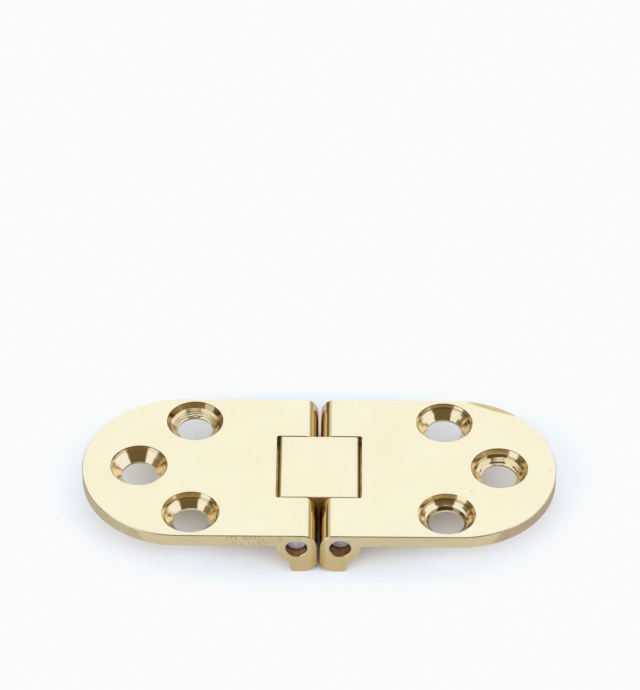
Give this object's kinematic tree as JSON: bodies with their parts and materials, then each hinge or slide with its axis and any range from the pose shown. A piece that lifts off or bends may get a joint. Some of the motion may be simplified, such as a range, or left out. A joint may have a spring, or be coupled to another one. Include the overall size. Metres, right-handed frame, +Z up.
{
  "type": "card table hinge",
  "caption": "Flat brass flap hinge with round-ended countersunk leaves and a centre link on parallel pins, so the leaves fold face to face.",
  "frame": {"origin": "midway between the two pins and midway along them, on the surface that the open hinge's feet stand on", "axes": "+X along the open hinge from the left leaf to the right leaf, +Y along the pins, away from the picture's viewer, +Z up out of the show face"},
  "size_m": [0.0762, 0.0318, 0.0079],
  "materials": {
    "polished_brass": "polished",
    "pin_steel": "satin"
  },
  "bodies": {
    "left": {"left_leaf": "polished_brass", "left_pin": "pin_steel"},
    "link": {"centre_link": "polished_brass"},
    "right": {"right_leaf": "polished_brass", "right_pin": "pin_steel"}
  },
  "joints": [
    {"name": "left_fold", "type": "hinge", "parent": "left", "child": "link", "pos_m": [-0.00346, 0, 0.00513], "axis": [0, -1, 0], "range_deg": [0, 90]},
    {"name": "right_fold", "type": "hinge", "parent": "link", "child": "right", "pos_m": [0.00346, 0, 0.00513], "axis": [0, -1, 0], "range_deg": [0, 90]}
  ]
}
